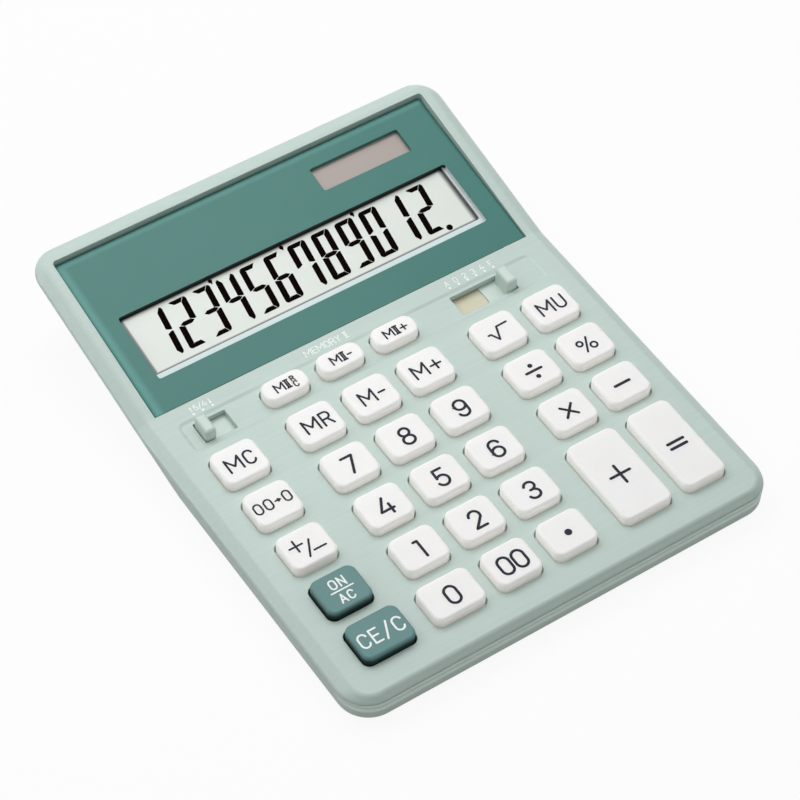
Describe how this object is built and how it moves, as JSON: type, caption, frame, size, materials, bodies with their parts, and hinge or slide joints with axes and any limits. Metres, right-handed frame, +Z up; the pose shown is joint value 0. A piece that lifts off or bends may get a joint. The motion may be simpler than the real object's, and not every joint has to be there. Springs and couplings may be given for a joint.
{
  "type": "desktop calculator",
  "caption": "Wedge-shaped desktop calculator with a sloped display and solar cell, rubber-dome keys that spring back, and two slide switches above the keys.",
  "frame": {"origin": "on the surface it stands on, under the middle of its outline", "axes": "+X to the user's right, +Y from the front edge towards the display, +Z up"},
  "size_m": [0.147, 0.1842, 0.0305],
  "materials": {
    "case_upper": "satin",
    "case_lower": "fine matt texture",
    "panel_teal": "gloss",
    "bezel_pale": "satin",
    "lcd_glass": "gloss",
    "retainer": "satin",
    "ribbon": "satin",
    "solar_cell": "gloss",
    "tape": "matt",
    "silicone": "matt",
    "board": "satin",
    "resin": "gloss",
    "capacitor": "gloss sleeve",
    "knob": "satin",
    "wiper": "bright",
    "screw_steel": "bright",
    "battery": "gloss sleeve",
    "contact_steel": "bright",
    "lead_sheath": "satin",
    "foot_rubber": "matt",
    "card": "matt",
    "key_white": "satin",
    "key_teal": "satin"
  },
  "bodies": {
    "case": {"battery_cell": "battery", "battery_contact_negative": "contact_steel", "battery_contact_positive": "contact_steel", "battery_door": "case_lower", "battery_leads": "lead_sheath", "board_capacitor": "capacitor", "board_screws": "screw_steel", "case_screws": "screw_steel", "display_panel": "panel_teal", "key_mat": "silicone", "lcd_bezel": "bezel_pale", "lcd_glass": "lcd_glass", "lcd_retainer": "retainer", "lcd_ribbon": "ribbon", "lower_case": "case_lower", "main_board": "board", "processor_cap": "resin", "rubber_feet": "foot_rubber", "solar_cell": "solar_cell", "solar_leads": "lead_sheath", "solar_tape": "tape", "switch_cards": "card", "upper_case": "case_upper"},
    "key_0": {"key_0": "key_white"},
    "key_1": {"key_1": "key_white"},
    "key_2": {"key_2": "key_white"},
    "key_3": {"key_3": "key_white"},
    "key_4": {"key_4": "key_white"},
    "key_5": {"key_5": "key_white"},
    "key_6": {"key_6": "key_white"},
    "key_7": {"key_7": "key_white"},
    "key_8": {"key_8": "key_white"},
    "key_9": {"key_9": "key_white"},
    "key_backspace": {"key_backspace": "key_white"},
    "key_clear_entry": {"key_clear_entry": "key_teal"},
    "key_decimal_point": {"key_decimal_point": "key_white"},
    "key_divide": {"key_divide": "key_white"},
    "key_double_zero": {"key_double_zero": "key_white"},
    "key_equals": {"key_equals": "key_white"},
    "key_mark_up": {"key_mark_up": "key_white"},
    "key_memory2_minus": {"key_memory2_minus": "key_white"},
    "key_memory2_plus": {"key_memory2_plus": "key_white"},
    "key_memory2_recall_clear": {"key_memory2_recall_clear": "key_white"},
    "key_memory_clear": {"key_memory_clear": "key_white"},
    "key_memory_minus": {"key_memory_minus": "key_white"},
    "key_memory_plus": {"key_memory_plus": "key_white"},
    "key_memory_recall": {"key_memory_recall": "key_white"},
    "key_minus": {"key_minus": "key_white"},
    "key_multiply": {"key_multiply": "key_white"},
    "key_on_all_clear": {"key_on_all_clear": "key_teal"},
    "key_percent": {"key_percent": "key_white"},
    "key_plus": {"key_plus": "key_white"},
    "key_sign_change": {"key_sign_change": "key_white"},
    "key_square_root": {"key_square_root": "key_white"},
    "rounding_switch": {"rounding_switch_knob": "knob", "rounding_switch_wiper": "wiper"},
    "decimal_switch": {"decimal_switch_knob": "knob", "decimal_switch_wiper": "wiper"}
  },
  "joints": [
    {"name": "key_0_press", "type": "slide", "parent": "case", "child": "key_0", "axis": [0, 0.0401, -0.9992], "range_m": [0, 0.0015], "stiffness_N_per_m": 300, "deforming": ["key_mat"]},
    {"name": "key_1_press", "type": "slide", "parent": "case", "child": "key_1", "axis": [0, 0.0401, -0.9992], "range_m": [0, 0.0015], "stiffness_N_per_m": 300, "deforming": ["key_mat"]},
    {"name": "key_2_press", "type": "slide", "parent": "case", "child": "key_2", "axis": [0, 0.0401, -0.9992], "range_m": [0, 0.0015], "stiffness_N_per_m": 300, "deforming": ["key_mat"]},
    {"name": "key_3_press", "type": "slide", "parent": "case", "child": "key_3", "axis": [0, 0.0401, -0.9992], "range_m": [0, 0.0015], "stiffness_N_per_m": 300, "deforming": ["key_mat"]},
    {"name": "key_4_press", "type": "slide", "parent": "case", "child": "key_4", "axis": [0, 0.0401, -0.9992], "range_m": [0, 0.0015], "stiffness_N_per_m": 300, "deforming": ["key_mat"]},
    {"name": "key_5_press", "type": "slide", "parent": "case", "child": "key_5", "axis": [0, 0.0401, -0.9992], "range_m": [0, 0.0015], "stiffness_N_per_m": 300, "deforming": ["key_mat"]},
    {"name": "key_6_press", "type": "slide", "parent": "case", "child": "key_6", "axis": [0, 0.0401, -0.9992], "range_m": [0, 0.0015], "stiffness_N_per_m": 300, "deforming": ["key_mat"]},
    {"name": "key_7_press", "type": "slide", "parent": "case", "child": "key_7", "axis": [0, 0.0401, -0.9992], "range_m": [0, 0.0015], "stiffness_N_per_m": 300, "deforming": ["key_mat"]},
    {"name": "key_8_press", "type": "slide", "parent": "case", "child": "key_8", "axis": [0, 0.0401, -0.9992], "range_m": [0, 0.0015], "stiffness_N_per_m": 300, "deforming": ["key_mat"]},
    {"name": "key_9_press", "type": "slide", "parent": "case", "child": "key_9", "axis": [0, 0.0401, -0.9992], "range_m": [0, 0.0015], "stiffness_N_per_m": 300, "deforming": ["key_mat"]},
    {"name": "key_backspace_press", "type": "slide", "parent": "case", "child": "key_backspace", "axis": [0, 0.0401, -0.9992], "range_m": [0, 0.0015], "stiffness_N_per_m": 300, "deforming": ["key_mat"]},
    {"name": "key_clear_entry_press", "type": "slide", "parent": "case", "child": "key_clear_entry", "axis": [0, 0.0401, -0.9992], "range_m": [0, 0.0015], "stiffness_N_per_m": 300, "deforming": ["key_mat"]},
    {"name": "key_decimal_point_press", "type": "slide", "parent": "case", "child": "key_decimal_point", "axis": [0, 0.0401, -0.9992], "range_m": [0, 0.0015], "stiffness_N_per_m": 300, "deforming": ["key_mat"]},
    {"name": "key_divide_press", "type": "slide", "parent": "case", "child": "key_divide", "axis": [0, 0.0401, -0.9992], "range_m": [0, 0.0015], "stiffness_N_per_m": 300, "deforming": ["key_mat"]},
    {"name": "key_double_zero_press", "type": "slide", "parent": "case", "child": "key_double_zero", "axis": [0, 0.0401, -0.9992], "range_m": [0, 0.0015], "stiffness_N_per_m": 300, "deforming": ["key_mat"]},
    {"name": "key_equals_press", "type": "slide", "parent": "case", "child": "key_equals", "axis": [0, 0.0401, -0.9992], "range_m": [0, 0.0015], "stiffness_N_per_m": 300, "deforming": ["key_mat"]},
    {"name": "key_mark_up_press", "type": "slide", "parent": "case", "child": "key_mark_up", "axis": [0, 0.0401, -0.9992], "range_m": [0, 0.0015], "stiffness_N_per_m": 300, "deforming": ["key_mat"]},
    {"name": "key_memory2_minus_press", "type": "slide", "parent": "case", "child": "key_memory2_minus", "axis": [0, 0.0401, -0.9992], "range_m": [0, 0.0015], "stiffness_N_per_m": 300, "deforming": ["key_mat"]},
    {"name": "key_memory2_plus_press", "type": "slide", "parent": "case", "child": "key_memory2_plus", "axis": [0, 0.0401, -0.9992], "range_m": [0, 0.0015], "stiffness_N_per_m": 300, "deforming": ["key_mat"]},
    {"name": "key_memory2_recall_clear_press", "type": "slide", "parent": "case", "child": "key_memory2_recall_clear", "axis": [0, 0.0401, -0.9992], "range_m": [0, 0.0015], "stiffness_N_per_m": 300, "deforming": ["key_mat"]},
    {"name": "key_memory_clear_press", "type": "slide", "parent": "case", "child": "key_memory_clear", "axis": [0, 0.0401, -0.9992], "range_m": [0, 0.0015], "stiffness_N_per_m": 300, "deforming": ["key_mat"]},
    {"name": "key_memory_minus_press", "type": "slide", "parent": "case", "child": "key_memory_minus", "axis": [0, 0.0401, -0.9992], "range_m": [0, 0.0015], "stiffness_N_per_m": 300, "deforming": ["key_mat"]},
    {"name": "key_memory_plus_press", "type": "slide", "parent": "case", "child": "key_memory_plus", "axis": [0, 0.0401, -0.9992], "range_m": [0, 0.0015], "stiffness_N_per_m": 300, "deforming": ["key_mat"]},
    {"name": "key_memory_recall_press", "type": "slide", "parent": "case", "child": "key_memory_recall", "axis": [0, 0.0401, -0.9992], "range_m": [0, 0.0015], "stiffness_N_per_m": 300, "deforming": ["key_mat"]},
    {"name": "key_minus_press", "type": "slide", "parent": "case", "child": "key_minus", "axis": [0, 0.0401, -0.9992], "range_m": [0, 0.0015], "stiffness_N_per_m": 300, "deforming": ["key_mat"]},
    {"name": "key_multiply_press", "type": "slide", "parent": "case", "child": "key_multiply", "axis": [0, 0.0401, -0.9992], "range_m": [0, 0.0015], "stiffness_N_per_m": 300, "deforming": ["key_mat"]},
    {"name": "key_on_all_clear_press", "type": "slide", "parent": "case", "child": "key_on_all_clear", "axis": [0, 0.0401, -0.9992], "range_m": [0, 0.0015], "stiffness_N_per_m": 300, "deforming": ["key_mat"]},
    {"name": "key_percent_press", "type": "slide", "parent": "case", "child": "key_percent", "axis": [0, 0.0401, -0.9992], "range_m": [0, 0.0015], "stiffness_N_per_m": 300, "deforming": ["key_mat"]},
    {"name": "key_plus_press", "type": "slide", "parent": "case", "child": "key_plus", "axis": [0, 0.0401, -0.9992], "range_m": [0, 0.0015], "stiffness_N_per_m": 300, "deforming": ["key_mat"]},
    {"name": "key_sign_change_press", "type": "slide", "parent": "case", "child": "key_sign_change", "axis": [0, 0.0401, -0.9992], "range_m": [0, 0.0015], "stiffness_N_per_m": 300, "deforming": ["key_mat"]},
    {"name": "key_square_root_press", "type": "slide", "parent": "case", "child": "key_square_root", "axis": [0, 0.0401, -0.9992], "range_m": [0, 0.0015], "stiffness_N_per_m": 300, "deforming": ["key_mat"]},
    {"name": "rounding_switch_slide", "type": "slide", "parent": "case", "child": "rounding_switch", "axis": [1, 0, 0], "range_m": [0, 0.0067]},
    {"name": "decimal_switch_slide", "type": "slide", "parent": "case", "child": "decimal_switch", "axis": [1, 0, 0], "range_m": [-0.0162, 0]}
  ]
}
